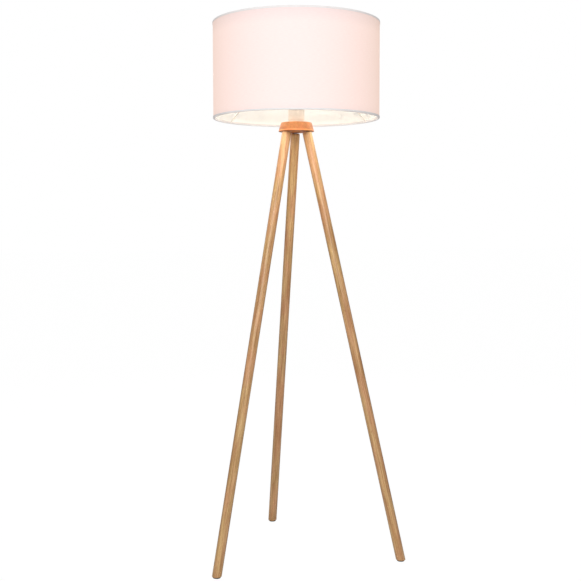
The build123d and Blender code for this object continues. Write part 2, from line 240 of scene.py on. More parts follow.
def oiled_beech(name, centre, turn, seed, light, dark, figure=1.0):
    """Steamed beech, turned, sanded along the grain and thinly oiled.

    To the eye: straight fine grain with faint growth lines, short dark rays, slow changes of tone along the
    length, and a soft gloss. centre and turn lay the pattern along the piece, seed shifts it, and figure is
    how strongly its streaks and flecks show."""
    sizes = bpy.context.scene.lamp_sizes
    light, dark = tuple(light), tuple(dark)
    material, tree = blank(name)
    place = add(tree, "ShaderNodeTexCoord").outputs["Object"]
    own = mapped(tree, place, kind="TEXTURE", location=centre, rotation=turn)
    # Growth rings round a pith 60 mm to the side, drawn out along the grain
    pith = (60 * MM, (15 + 10 * seed) * MM, seed)
    drawn = mapped(tree, own, location=pith, scale=(1, 1, 0.035))
    rings = add(
        tree,
        "ShaderNodeTexWave",
        {
            "Vector": drawn,
            "Scale": stripes(sizes.ring_spacing),
            "Distortion": 6.0,
            "Detail": 3.0,
            "Detail Scale": 0.3,
        },
        wave_type="RINGS",
        rings_direction="Z",
    ).outputs["Fac"]
    # The slow drift of the wood's tone
    drift = drawn_out_noise(tree, own, 9 * MM, 120 * MM, shift=(seed, 0, 0))
    # Fibres: streaks of twice the real width, so that they show
    fibres = drawn_out_noise(tree, own, 2.2 * MM, 70 * MM)
    # Rays: dark dashes, also of twice the real width
    rays = drawn_out_noise(tree, own, 1.1 * MM, 7 * MM, detail=1.0)
    lines = ramp(tree, rings, [(0.0, light), (0.5, light), (0.82, dark), (1.0, light)])
    drifted = ramp(
        tree,
        drift,
        [(0.34, scaled(dark, 0.92)), (0.50, scaled(light, 0.92)), (0.66, scaled(light, 1.14))],
    )
    # Steaming leaves pinkish and yellowish stretches
    patches = drawn_out_noise(tree, own, 20 * MM, 90 * MM, shift=(0, seed, 0))
    steamed = ramp(tree, patches, [(0.38, linear("#FFEDE8")), (0.62, linear("#FFFFEC"))])
    drift_share, streaks, flecks = 0.55, 0.8 * figure, 0.7 * figure
    toned = mixed_colour(tree, drift_share, lines, drifted)
    base = mixed_colour(tree, 1.0, toned, steamed, blend="MULTIPLY")
    streaked = mixed_colour(
        tree,
        streaks,
        base,
        ramp(tree, fibres, [(0.36, linear("#D2BBA2")), (0.60, (1, 1, 1))]),
        blend="MULTIPLY",
    )
    flecked = mixed_colour(
        tree,
        flecks,
        streaked,
        ramp(tree, rays, [(0.60, (1, 1, 1)), (0.72, linear("#CDA787"))]),
        blend="MULTIPLY",
    )
    shader = add(
        tree,
        "ShaderNodeBsdfPrincipled",
        {
            "Base Color": flecked,
            "Roughness": between(tree, drift, 0.44, 0.60),
            "Normal": bumped(tree, fibres, 0.10, 0.08 * MM),
            "IOR": 1.48,
            "Coat Weight": 0.4,
            "Coat Roughness": 0.38,
        },
    )
    surface(tree, shader.outputs["BSDF"])
    return material


def even(name, code, roughness, grain, metallic=0.0, relief=0.08, shade=0.06, stretch=(1, 1, 1), glow=None):
    """A finish of one colour, whose tone, gloss and relief change slightly over the size of its grain.

    shade is how much its tone changes, and glow is the colour and strength of light that it gives off."""
    material, tree = blank(name)
    place = add(tree, "ShaderNodeTexCoord").outputs["Object"]
    fine = noise(tree, mapped(tree, place, scale=stretch), 1 / grain)
    broad = noise(tree, place, 1 / (HANDLING_SIZE * grain), detail=1.0)
    base = linear(code) if isinstance(code, str) else tuple(code)
    toned = ramp(tree, fine, [(0.3, scaled(base, 1 - shade)), (0.7, scaled(base, 1 + shade))])
    handled = ramp(tree, broad, [(0.35, scaled((1, 1, 1), 1 - shade)), (0.65, (1, 1, 1))])
    inputs = {
        "Base Color": mixed_colour(tree, 1.0, toned, handled, blend="MULTIPLY"),
        "Roughness": between(tree, fine, roughness * 0.85, min(1.0, roughness * 1.15)),
        "Metallic": metallic,
        "Normal": bumped(tree, fine, relief, grain / 4),
    }
    if not metallic:
        inputs["IOR"] = PLASTIC_IOR
    if glow:
        inputs["Emission Color"] = opaque(glow[0])
        inputs["Emission Strength"] = glow[1]
    shader = add(tree, "ShaderNodeBsdfPrincipled", inputs)
    surface(tree, shader.outputs["BSDF"])
    return material


def along_shade(tree):
    """Arc length round the shade from its front and height, in metres: as one vector, and each by itself."""
    radius = box("shade_fabric")[1].x
    place = add(tree, "ShaderNodeTexCoord").outputs["Object"]
    parts = add(tree, "ShaderNodeSeparateXYZ", {"Vector": place})
    back = calculate(tree, "MULTIPLY", parts.outputs["Y"], -1.0)
    angle = calculate(tree, "ARCTAN2", parts.outputs["X"], back)
    arc = calculate(tree, "MULTIPLY", angle, radius)
    height = parts.outputs["Z"]
    return add(tree, "ShaderNodeCombineXYZ", {"X": arc, "Y": height}).outputs["Vector"], arc, height


def share_of_height(tree, height, node):
    """How far up a CAD node a point is, from 0 at its foot to 1 at its top."""
    low, high = box(node)
    inputs = {"Value": height, "From Min": low.z, "From Max": high.z}
    return add(tree, "ShaderNodeMapRange", inputs).outputs["Result"]


def laminated_cloth():
    """White plain-woven cotton and polyester cloth, laminated on plastic sheet and lit from inside.

    To the eye: an even glow, a little dimmer towards both edges of the drum, and a fine weave with slubs."""
    sizes, colours = bpy.context.scene.lamp_sizes, bpy.context.scene.lamp_colours
    material, tree = blank("laminated_cloth")
    flat, arc, height = along_shade(tree)
    weave = None
    for direction in ("X", "Y"):
        thread = add(
            tree,
            "ShaderNodeTexWave",
            {"Vector": flat, "Scale": stripes(sizes.thread_spacing), "Distortion": 1.2, "Detail": 1.0},
            bands_direction=direction,
        ).outputs["Fac"]
        weave = thread if weave is None else calculate(tree, "MULTIPLY", weave, thread)
    # Slubs: thicker places in the yarn, about 12 mm long and 1 mm tall
    slubs = noise(tree, mapped(tree, flat, scale=(1 / 0.012, 1 / 0.001, 1)), 1.0, detail=2.0)
    base = tuple(colours.cloth)
    threads = ramp(tree, weave, [(0.0, scaled(base, 0.95)), (0.6, base)])
    uneven = ramp(tree, slubs, [(0.35, linear("#FAFAFA")), (0.7, (1, 1, 1))])
    toned = mixed_colour(tree, 1.0, threads, uneven, blend="MULTIPLY")
    # The glow is strongest level with the bulb and falls off slightly towards the two edges
    level = share_of_height(tree, height, "shade_fabric")
    glow = tuple(colours.cloth_glow)
    across = ramp(
        tree,
        level,
        [(0.0, scaled(glow, 0.93)), (0.08, glow), (0.85, glow), (1.0, scaled(glow, 0.82))],
    )
    glowing = mixed_colour(tree, 1.0, across, uneven, blend="MULTIPLY")
    # Less light comes through the lap at the back, where the cloth lies double
    held_back = 0.1
    half_turn = math.pi * box("shade_fabric")[1].x
    doubled = calculate(tree, "LESS_THAN", arc, sizes.cloth_lap - half_turn)
    glowing = mixed_colour(tree, calculate(tree, "MULTIPLY", doubled, held_back), glowing, (0, 0, 0, 1))
    shader = add(
        tree,
        "ShaderNodeBsdfPrincipled",
        {
            "Base Color": toned,
            "Roughness": 0.85,
            "Normal": bumped(tree, weave, 0.12, 0.1 * MM),
            "Emission Color": glowing,
            "Emission Strength": 1.0,
            "Sheen Weight": 0.1,
        },
    )
    surface(tree, shader.outputs["BSDF"])
    return material


def backing_sheet():
    """White rigid plastic sheet behind the cloth, matt, with the faint haze that lamination leaves."""
    # The glow is painted light: it stands in for the bulb's light scattered inside the shade
    colour, glow = bpy.context.scene.lamp_colours.backing, (linear("#FFFAF0"), 0.15)
    return even("laminated_plastic_backing", colour, 0.55, 2.0 * MM, relief=0.03, shade=0.02, glow=glow)


def opal_globe():
    """Opal polycarbonate, blown and satin inside, lit by the board under it.

    To the eye: bright all over, a little yellower and dimmer where it goes into the bulb's body."""
    material, tree = blank("lit_opal_polycarbonate")
    place = add(tree, "ShaderNodeTexCoord").outputs["Object"]
    parts = add(tree, "ShaderNodeSeparateXYZ", {"Vector": place})
    level = share_of_height(tree, parts.outputs["Z"], "bulb_globe")
    colour = ramp(tree, level, [(0.0, linear("#EFCF9C")), (0.3, linear("#FFE6BE")), (1.0, linear("#FFF1D6"))])
    shader = add(
        tree,
        "ShaderNodeBsdfPrincipled",
        {
            "Base Color": opaque(linear("#BDB5A6")),
            "Roughness": 0.35,
            "Emission Color": colour,
            "Emission Strength": 0.72,
            "Normal": bumped(tree, noise(tree, place, 1 / (0.6 * MM)), 0.03, 0.1 * MM),
        },
    )
    surface(tree, shader.outputs["BSDF"])
    return material


# ---------------------------------------------------------------- modelling


def box(node):
    low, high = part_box(node)
    return Vector(low), Vector(high)


def deselect():
    if bpy.context.object and bpy.context.object.mode != "OBJECT":
        bpy.ops.object.mode_set(mode="OBJECT")
    bpy.ops.object.select_all(action="DESELECT")


def newest(name):
    piece = bpy.context.object
    piece.name = name
    piece.data.name = name
    return piece


def edit(mode="VERT"):
    bpy.ops.object.mode_set(mode="EDIT")
    bpy.ops.mesh.select_mode(type=mode)


def leave():
    bpy.ops.object.mode_set(mode="OBJECT")


def pick_faces(test):
    """Selects the faces of the piece in edit mode that pass a test."""
    bpy.ops.mesh.select_mode(type="FACE")
    bpy.ops.mesh.select_all(action="DESELECT")
    work = bmesh.from_edit_mesh(bpy.context.object.data)
    for face in work.faces:
        if test(face):
            face.select_set(True)
    work.select_flush(True)
    bmesh.update_edit_mesh(bpy.context.object.data)


def pick_points(test):
    """Selects the vertices of the piece in edit mode whose places pass a test."""
    bpy.ops.mesh.select_all(action="DESELECT")
    work = bmesh.from_edit_mesh(bpy.context.object.data)
    for vertex in work.verts:
        vertex.select_set(test(vertex.co))
    bmesh.update_edit_mesh(bpy.context.object.data)


def apply_modifier(piece, kind, **settings):
    modifier = piece.modifiers.new(kind.lower(), kind)
    for name, value in settings.items():
        setattr(modifier, name, value)
    bpy.context.view_layer.objects.active = piece
    bpy.ops.object.modifier_apply(modifier=modifier.name)


def rounded(piece, width, segments=3, angle=35):
    apply_modifier(
        piece,
        "BEVEL",
        width=width,
        segments=segments,
        limit_method="ANGLE",
        angle_limit=math.radians(angle),
    )


def choose(piece):
    deselect()
    piece.select_set(True)
    bpy.context.view_layer.objects.active = piece


def smooth(piece, angle):
    choose(piece)
    bpy.ops.object.shade_smooth_by_angle(angle=math.radians(angle))


def place_in_mesh(piece):
    choose(piece)
    bpy.ops.object.transform_apply(location=True, rotation=True, scale=True)


def done(piece, body, slot, material, *nodes, angle=40):
    """Gives a finished piece its shading, its finish and its body, and hides the CAD nodes that it stands for.
    """
    place_in_mesh(piece)
    smooth(piece, angle)
    piece.data.materials.clear()
    piece.data.materials.append(material)
    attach(piece, body)
    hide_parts(*nodes)
    return piece


def dress(node, material):
    """Gives a CAD node its finish."""
    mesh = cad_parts[node].data
    mesh.materials.clear()
    mesh.materials.append(material)


def drawn_line(name, points):
    """A line of vertices, extruded one after the other from a plane merged to its middle."""
    deselect()
    bpy.ops.mesh.primitive_plane_add(size=MM, location=(0, 0, 0))
    piece = newest(name)
    edit()
    bpy.ops.mesh.select_all(action="SELECT")
    bpy.ops.mesh.merge(type="CENTER")
    here = Vector((0, 0, 0))
    for number, point in enumerate(points):
        step = Vector(point) - here
        if number:
            bpy.ops.mesh.extrude_region_move(TRANSFORM_OT_translate={"value": step})
        else:
            bpy.ops.transform.translate(value=step)
        here = Vector(point)
    bpy.ops.mesh.select_all(action="SELECT")
    bpy.ops.mesh.remove_doubles(threshold=SAME_PLACE)
    return piece


def turned(name, outline, steps=96):
    """A piece spun about the lamp's axis from (radius, height) points. A ring's outline ends at its start."""
    piece = drawn_line(name, [(radius, 0, height) for radius, height in outline])
    bpy.ops.mesh.select_all(action="SELECT")
    bpy.ops.mesh.spin(steps=steps, angle=FULL_TURN, center=(0, 0, 0), axis=UP, use_auto_merge=True)
    bpy.ops.mesh.select_all(action="SELECT")
    bpy.ops.mesh.remove_doubles(threshold=SAME_PLACE)
    bpy.ops.mesh.normals_make_consistent(inside=False)
    leave()
    return piece


def ring_outline(outer, inner, low, high):
    return [(inner, low), (outer, low), (outer, high), (inner, high), (inner, low)]


def leg_line(place):
    """The middle of a leg's foot cut and the middle of its top face, from the ends of its CAD node."""
    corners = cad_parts[f"leg_{place}"].data.vertices
    # Each point once, rounded to a hundredth of a millimetre
    places = sorted({tuple(round(c, 5) for c in corner.co) for corner in corners})
    points = [Vector(point) for point in places]
    pad_low, pad_high = box(f"foot_pad_{place}")
    foot = Vector(((pad_low.x + pad_high.x) / 2, (pad_low.y + pad_high.y) / 2, pad_high.z))
    # The top face's rim is what lies farthest from the foot
    reach, slack = max((point - foot).length for point in points), 0.02 * MM
    rim = [point for point in points if (point - foot).length > reach - slack]
    return foot, sum(rim, Vector()) / len(rim)


def make_leg(place):
    """A turned leg, cut level at the floor and square at the top, with rounded rims and the bolt's hole."""
    sizes, colours = bpy.context.scene.lamp_sizes, bpy.context.scene.lamp_colours
    foot, top = leg_line(place)
    along = (top - foot).normalized()
    turn = along.to_track_quat("Z", "Y").to_euler()
    # Longer than the leg, for the level cut at the floor
    length = (top - foot).length + 4 * LEG_RADIUS
    deselect()
    bpy.ops.mesh.primitive_cylinder_add(
        vertices=96, radius=LEG_RADIUS, depth=length, location=top - along * length / 2, rotation=turn
    )
    leg = newest(f"leg_{place}_turned")
    place_in_mesh(leg)
    edit("FACE")
    bpy.ops.mesh.select_all(action="SELECT")
    bpy.ops.mesh.bisect(plane_co=foot, plane_no=UP, use_fill=True, clear_inner=True)
    for facing in (-UP, along):
        pick_faces(lambda face, facing=facing: face.normal.dot(facing) > FACING)
        bpy.ops.mesh.bevel(offset=sizes.leg_end_round, segments=4, affect="EDGES")
    # The bolt's hole, bored in what the rounding leaves of the top face
    hole, depth = 4.1 * MM, 20 * MM
    pick_faces(lambda face: face.normal.dot(along) > FACING and face.calc_area() > hole**2)
    bpy.ops.mesh.inset(thickness=LEG_RADIUS - sizes.leg_end_round - hole)
    bpy.ops.mesh.extrude_region_move(TRANSFORM_OT_translate={"value": -along * depth})
    leave()
    seed = LEGS.index(place) + 1.0
    grain = oiled_beech(
        f"oiled_beech_leg_{place}", foot, turn, seed, colours.wood_light, colours.wood_dark
    )
    return done(leg, "stand", "oiled_beech", grain, f"leg_{place}")


def make_pad(place, material):
    """A moulded rubber foot: a disc with a rounded rim and a shallow dished middle underneath."""
    low, high = box(f"foot_pad_{place}")
    radius = (high.x - low.x) / 2
    dish_depth, dish_floor, dish_rim = 0.3 * MM, 0.6 * radius, 0.7 * radius
    pad = turned(
        f"foot_pad_{place}_moulded",
        [
            (0, dish_depth),
            (dish_floor, dish_depth),
            (dish_rim, 0),
            (radius, 0),
            (radius, high.z),
            (0, high.z),
        ],
        steps=64,
    )
    rounded(pad, 0.5 * MM, angle=50)
    pad.location = ((low.x + high.x) / 2, (low.y + high.y) / 2, 0)
    return done(pad, "stand", "dark_rubber", material, f"foot_pad_{place}")


def make_hub():
    """A turned disc with a leaning side, bored for the hollow tube and recessed below for its nut."""
    sizes, colours = bpy.context.scene.lamp_sizes, bpy.context.scene.lamp_colours
    low, high = box("hub")
    washer = box("tube_washer")[1]
    side_lean = 7 / 24  # inwards for each unit of height
    nut_room = 2.5 * MM  # round the washer, for a spanner
    bottom = high.x
    top = bottom - side_lean * (high.z - low.z)
    bore = box("cord_tube")[1].x + FIT
    recess = washer.x + nut_room
    outline = [
        (bore, washer.z),
        (recess, washer.z),
        (recess, low.z),
        (bottom, low.z),
        (top, high.z),
        (bore, high.z),
        (bore, washer.z),
    ]
    hub = turned("hub_turned", outline, steps=144)
    rounded(hub, sizes.hub_round, segments=4)
    # Grain lies across the hub, as in a disc cut from a board
    across_hub = (math.pi / 2, 0, math.radians(20))
    grain = oiled_beech(
        "oiled_beech_hub",
        (0, 0, low.z),
        across_hub,
        5.0,
        colours.hub_light,
        colours.hub_dark,
        figure=0.45,
    )
    return done(hub, "stand", "oiled_beech", grain, "hub")


def make_tube_fittings(steel):
    """The nut's hexagon with its corners turned down, the washer, and the hollow tube with its thread."""
    low, high = box("tube_nut")
    bore = box("cord_tube")[1].x
    corner = high.y / math.cos(math.pi / 6)
    nut = turned("tube_nut_chamfered", ring_outline(corner, bore, low.z, high.z), steps=6)
    rounded(nut, 0.6 * MM, segments=2, angle=45)
    done(nut, "stand", "zinc_plated_steel", steel, "tube_nut", angle=25)
    low, high = box("tube_washer")
    washer = turned("tube_washer_pressed", ring_outline(high.x, bore, low.z, high.z), steps=64)
    rounded(washer, 0.25 * MM, segments=2)
    done(washer, "stand", "zinc_plated_steel", steel, "tube_washer")
    low, high = box("cord_tube")
    pitch, depth, wall = 1.0 * MM, 0.55 * MM, 1.0 * MM
    crest, root, inside = high.x, high.x - depth, high.x - wall
    outline = [(inside, low.z), (root, low.z)]
    for turn in range(int((high.z - low.z) / pitch)):
        outline += thread_turn(low.z + turn * pitch, pitch, root, crest, (0.2, 0.45, 0.55, 0.8))
    outline += [(root, high.z), (inside, high.z), (inside, low.z)]
    tube = turned("cord_tube_threaded", outline, steps=48)
    done(tube, "stand", "zinc_plated_steel", steel, "cord_tube", angle=30)


def thread_turn(start, pitch, root, crest, shares):
    """One turn of a thread: its foot, crest, crest and foot, at shares of the pitch above its start."""
    return [(radius, start + share * pitch) for radius, share in zip((root, crest, crest, root), shares)]


def make_holder(plastic):
    """The two moulded halves of the lamp holder: the grooved base, and the shell with its threaded collar."""
    sizes = bpy.context.scene.lamp_sizes
    low, high = box("holder_base")
    floor = low.z + 3 * MM
    bore = box("cord_tube")[1].x + FIT
    boss, boss_top = box("cord_tube")[1].x + HOLDER_WALL, floor + 4 * MM
    foot_chamfer = 1.2 * MM
    groove = high.x - 1.3 * MM
    base = turned(
        "holder_base_moulded",
        [
            (bore, low.z),
            (high.x - foot_chamfer, low.z),
            (high.x, low.z + foot_chamfer),
            # The groove over the base's foot
            (high.x, low.z + 3.4 * MM),
            (groove, low.z + 3.9 * MM),
            (groove, low.z + 5.6 * MM),
            (high.x, low.z + 6.4 * MM),
            (high.x, high.z),
            (high.x - HOLDER_WALL, high.z),
            (high.x - HOLDER_WALL, floor),
            (boss, floor),
            (boss, boss_top),
            (bore, boss_top),
            (bore, low.z),
        ],
    )
    rounded(base, sizes.moulding_round)
    done(base, "stand", "white_thermoplastic", plastic, "holder_base")
    low, high = box("holder_shell")
    seat = box("centre_ring")[0].z
    collar = high.x - COLLAR_STEP
    collar_wall = 2.5 * MM
    joint_depth, joint_width = 0.5 * MM, 0.8 * MM
    pitch, thread_root = 1.5 * MM, collar - 0.5 * MM
    outline = [
        (high.x - HOLDER_WALL, low.z),
        (high.x - joint_depth, low.z),
        (high.x - joint_depth, low.z + joint_width),
        (high.x, low.z + joint_width),
        (high.x, seat),
        (thread_root, seat),
    ]
    height = box("retaining_ring")[1].z
    while height + pitch < high.z:
        outline += thread_turn(height, pitch, thread_root, collar, (0.2, 0.45, 0.6, 0.85))
        height += pitch
    outline += [
        (thread_root, high.z),
        (collar - collar_wall, high.z),
        (collar - collar_wall, seat - HOLDER_WALL),
        (high.x - HOLDER_WALL, seat - HOLDER_WALL),
        (high.x - HOLDER_WALL, low.z),
    ]
    shell = turned("holder_shell_moulded", outline)
    rounded(shell, 0.2 * MM, segments=2)
    done(shell, "stand", "white_thermoplastic", plastic, "holder_shell")


def make_clamp_ring(plastic):
    """The ring that clamps the shade, with finger grips pressed in all round."""
    low, high = box("retaining_ring")
    bore = box("holder_shell")[1].x - COLLAR_STEP + FIT
    grips, columns, pressed_columns = 18, 6, 2
    steps = grips * columns
    ring = turned("retaining_ring_gripped", ring_outline(high.x, bore, low.z, high.z), steps=steps)
    edit("FACE")

    def pressed(face):
        middle = face.calc_center_median()
        upright = abs(face.normal.z) < 0.1
        outside = middle.xy.length > 0.98 * high.x and upright
        column = int((math.atan2(middle.y, middle.x) % FULL_TURN) * steps / FULL_TURN)
        return outside and column % columns < pressed_columns

    pick_faces(pressed)
    bpy.ops.mesh.extrude_region_shrink_fatten(TRANSFORM_OT_shrink_fatten={"value": -1.0 * MM})
    leave()
    rounded(ring, 0.35 * MM, segments=2, angle=30)
    done(ring, "clamp_ring", "white_thermoplastic", plastic, "retaining_ring", angle=30)


def make_bulb(plastic):
    """The opal globe and the flared white body under it."""
    low, high = box("bulb_globe")
    radius = high.x
    centre = (0, 0, high.z - radius)
    deselect()
    bpy.ops.mesh.primitive_uv_sphere_add(segments=96, ring_count=64, radius=radius, location=centre)
    globe = newest("bulb_globe_blown")
    place_in_mesh(globe)
    edit("FACE")
    bpy.ops.mesh.select_all(action="SELECT")
    bpy.ops.mesh.bisect(plane_co=(0, 0, low.z), plane_no=UP, clear_inner=True)
    leave()
    apply_modifier(globe, "SOLIDIFY", thickness=1.2 * MM, offset=-1.0)
    done(globe, "bulb", "opal_globe", opal_globe(), "bulb_globe")
    # The bulb's light stands inside it
    globe.visible_shadow = False
    cap = box("bulb_cap")[1]
    low, high = box("bulb_housing")
    wall = 1.6 * MM
    foot, rim = 14.2 * MM, high.x
    neck = cap.x - 1.25 * MM  # inside the cap, clear of its thread
    steps = 14
    fullness = 1.15  # over 1, the body stays slim for longer before it flares
    flare = []
    for number in range(steps + 1):
        share = number / steps
        widening = (1 - math.cos(share * math.pi / 2)) ** fullness
        flare.append((foot + (rim - foot) * widening, cap.z + (high.z - cap.z) * share))
    inside = [(radius - wall, height) for radius, height in reversed(flare)]
    inside += [(neck - wall, cap.z), (neck - wall, low.z)]
    outside = [(neck - wall, low.z), (neck, low.z), (neck, cap.z), *flare]
    body = turned("bulb_housing_moulded", outside + inside)
    rounded(body, 0.3 * MM, segments=2, angle=50)
    done(body, "bulb", "white_thermoplastic", plastic, "bulb_housing")


def make_cloth():
    """The cloth of the shade: one sheet wrapped round, whose end is glued over its beginning at the back."""
    sizes = bpy.context.scene.lamp_sizes
    low, high = box("shade_fabric")
    outermost = high.x - 0.03 * MM  # under the hems
    radius = outermost - sizes.cloth_thickness
    rows, steps = 6, 240
    points = [(0, radius, low.z + (high.z - low.z) * row / rows) for row in range(rows + 1)]
    cloth = drawn_line("shade_cloth", points)
    bpy.ops.mesh.select_all(action="SELECT")
    # Nearly once round, then over 2 mm out by the cloth's thickness, and on over its beginning
    rise = 2.0 * MM / radius
    stretches = (
        (steps, FULL_TURN - rise, 1.0),
        (1, rise, outermost / radius),
        (2, sizes.cloth_lap / radius, 1.0),
    )
    for count, angle, outwards in stretches:
        bpy.ops.mesh.spin(steps=count, angle=angle, center=(0, 0, 0), axis=UP, use_auto_merge=False)
        bpy.ops.transform.resize(value=(outwards, outwards, 1), center_override=(0, 0, 0))
    bpy.ops.mesh.select_all(action="SELECT")
    bpy.ops.mesh.normals_make_consistent(inside=False)
    leave()
    apply_modifier(cloth, "SOLIDIFY", thickness=sizes.cloth_thickness, offset=-1.0)
    done(cloth, "shade", "shade_fabric", laminated_cloth(), "shade_fabric", angle=30)
    flat = (FULL_TURN * radius + sizes.cloth_lap, high.z - low.z)
    return cloth, flat


def make_backing():
    """The white plastic sheet that the cloth is laminated on, bent round and joined edge to edge."""
    low, high = box("shade_liner")
    thickness = 0.45 * MM
    backing = turned("shade_backing", ring_outline(high.x, high.x - thickness, low.z, high.z), steps=240)
    done(backing, "shade", "shade_liner", backing_sheet(), "shade_liner", angle=30)
    return backing, (FULL_TURN * high.x, high.z - low.z)


def make_hem(node, opens, material):
    """A strip folded over the wire at one edge of the shade. opens is +1 where the fold opens upwards."""
    low, high = box(node)
    wire = box(node.replace("hem", "ring"))[1]
    thickness, outer_depth, inner_depth = 0.5 * MM, 5.0 * MM, 6.0 * MM
    wire_width, slack = 3.5 * MM, 0.3 * MM
    edge = low.z if opens > 0 else high.z
    outer = high.x - thickness / 2
    inner = wire.x - wire_width - slack
    # Each corner of the fold is rounded in two steps, that meet this far from both of its sides
    round_by = 0.9 * MM
    meeting = 0.3 * round_by
    profile = [
        (outer, outer_depth),
        (outer, round_by + thickness / 2),
        (outer - meeting, meeting + thickness / 2),
        (outer - round_by, thickness / 2),
        (inner + round_by, thickness / 2),
        (inner + meeting, meeting + thickness / 2),
        (inner, round_by + thickness / 2),
        (inner, inner_depth),
    ]
    line = [(radius, edge + opens * depth) for radius, depth in profile]
    hem = turned(f"{node}_folded", line, steps=240)
    if opens > 0:
        # Cut away where the arms come in through it
        clearance = 4 * MM
        edit("FACE")

        def over_arm(face):
            middle = face.calc_center_median().xy
            if middle.length > inner + 0.2 * MM:
                return False
            return any((middle - arm.xy * inner).length < clearance for arm in arm_directions())

        pick_faces(over_arm)
        bpy.ops.mesh.delete(type="FACE")
        leave()
    apply_modifier(hem, "SOLIDIFY", thickness=thickness, offset=0.0)
    done(hem, "shade", "shade_hem", material, node, angle=45)
    return hem


def arm_directions():
    """Level unit vectors from the lamp's axis along the three arms, from the boxes of their CAD nodes."""
    middles = [sum(box(f"shade_arm_{number}"), Vector()) / 2 for number in ARMS]
    return [Vector((middle.x, middle.y, 0)).normalized() for middle in middles]


def make_wires(material):
    """The shade's two wire rings, and three bent arms welded to the flat centre ring."""
    for node in ("bottom_ring", "top_ring"):
        make_wire_ring(node, material)
    low, high = box("centre_ring")
    inner = box("holder_shell")[1].x - COLLAR_STEP + 0.08 * MM  # slips over the collar's thread
    washer = turned("centre_ring_stamped", ring_outline(high.x, inner, low.z, high.z), steps=120)
    rounded(washer, 0.3 * MM, segments=2)
    done(washer, "shade", "painted_wire", material, "centre_ring")
    # Each arm lies inside and a little above the bottom ring's wire, rises at 42 degrees and levels out
    level = (low.z + high.z) / 2
    ring_low, ring_high = box("bottom_ring")
    foot_height = (ring_low.z + ring_high.z) / 2
    foot_radius = ring_high.x - (ring_high.z - ring_low.z) / 2
    run = (level - foot_height) / math.tan(math.radians(42))
    wire_radius, bend_length = 2 * MM, 9 * MM
    for number, outward in zip(ARMS, arm_directions()):
        foot = outward * (foot_radius - 1.4 * MM) + UP * (foot_height + 1.2 * MM)
        bend = outward * (foot_radius - run) + UP * level
        end = outward * (high.x - 0.5 * MM) + UP * level
        arm = drawn_line(f"shade_arm_{number}_bent", [foot, bend, end])
        pick_points(lambda place: (place - bend).length < MM)
        bpy.ops.mesh.bevel(offset=bend_length, segments=12, affect="VERTICES")
        leave()
        bpy.ops.object.convert(target="CURVE")
        arm.data.bevel_depth = wire_radius
        arm.data.bevel_resolution = 6
        arm.data.use_fill_caps = True
        bpy.ops.object.convert(target="MESH")
        done(arm, "shade", "painted_wire", material, f"shade_arm_{number}", angle=50)


def make_wire_ring(node, material):
    """A ring of round wire, with the upset bead where its ends are butt-welded, at the back."""
    low, high = box(node)
    thick, level = (high.z - low.z) / 2, (low.z + high.z) / 2
    radius = high.x - thick
    deselect()
    bpy.ops.mesh.primitive_torus_add(
        major_segments=240,
        minor_segments=20,
        major_radius=radius,
        minor_radius=thick,
        location=(0, 0, level),
    )
    ring = newest(f"{node}_wire")
    place_in_mesh(ring)
    bead_reach, bead_swell = 2 * MM, 1.12
    edit()
    pick_points(lambda place: abs(place.x) < bead_reach and place.y > 0)
    bpy.ops.transform.resize(value=(1.0, bead_swell, bead_swell), center_override=(0, radius, level))
    leave()
    done(ring, "shade", "painted_wire", material, node)


# ---------------------------------------------------------------- stage


def area_light(name, place, aim, shape, size, power, colour=(1, 1, 1)):
    """A light that shines from a place towards a point, and that the camera doesn't see."""
    data = bpy.data.lights.new(name, "AREA")
    data.shape = shape
    data.size, data.size_y = size
    data.energy = power
    data.color = colour
    lamp = bpy.data.objects.new(name, data)
    bpy.context.scene.collection.objects.link(lamp)
    lamp.location = place
    lamp.rotation_euler = (Vector(aim) - Vector(place)).to_track_quat("-Z", "Y").to_euler()
    lamp.visible_camera = False


def make_world():
    """White to the eye, and a dimmer even light on the lamp."""
    world = bpy.data.worlds.new("studio")
    bpy.context.scene.world = world
    world.use_nodes = True
    tree = world.node_tree
    tree.nodes.clear()
    white, lit_by = (1, 1, 1, 1), 0.32
    seen = add(tree, "ShaderNodeBackground", {"Color": white, "Strength": 1.0})
    lit = add(tree, "ShaderNodeBackground", {"Color": white, "Strength": lit_by})
    straight = add(tree, "ShaderNodeLightPath").outputs["Is Camera Ray"]
    both = add(
        tree,
        "ShaderNodeMixShader",
        {0: straight, 1: lit.outputs["Background"], 2: seen.outputs["Background"]},
    )
    out = tree.nodes.new("ShaderNodeOutputWorld")
    tree.links.new(both.outputs["Shader"], out.inputs["Surface"])


def make_floor():
    """Seamless white paper, lit so evenly that it shows no edge and hardly a shadow."""
    deselect()
    side = 60  # metres, so that its edge is far off
    bpy.ops.mesh.primitive_plane_add(size=side)
    floor = newest("paper_floor")
    material, tree = blank("white_paper")
    place = add(tree, "ShaderNodeTexCoord").outputs["Object"]
    tooth = noise(tree, place, 1 / (1.5 * MM))
    diffuse = add(
        tree,
        "ShaderNodeBsdfDiffuse",
        {"Color": ramp(tree, tooth, [(0.3, linear("#E4E4E4")), (0.7, linear("#E8E8E8"))])},
    )
    bright = add(tree, "ShaderNodeEmission", {"Color": (1, 1, 1, 1), "Strength": 1.02})
    straight = add(tree, "ShaderNodeLightPath").outputs["Is Camera Ray"]
    # The eye sees it as nearly all white, and the lamp gets the light of plain paper
    share = calculate(tree, "MULTIPLY", straight, 0.97)
    both = add(
        tree, "ShaderNodeMixShader", {0: share, 1: diffuse.outputs["BSDF"], 2: bright.outputs["Emission"]}
    )
    surface(tree, both.outputs["Shader"])
    floor.data.materials.append(material)


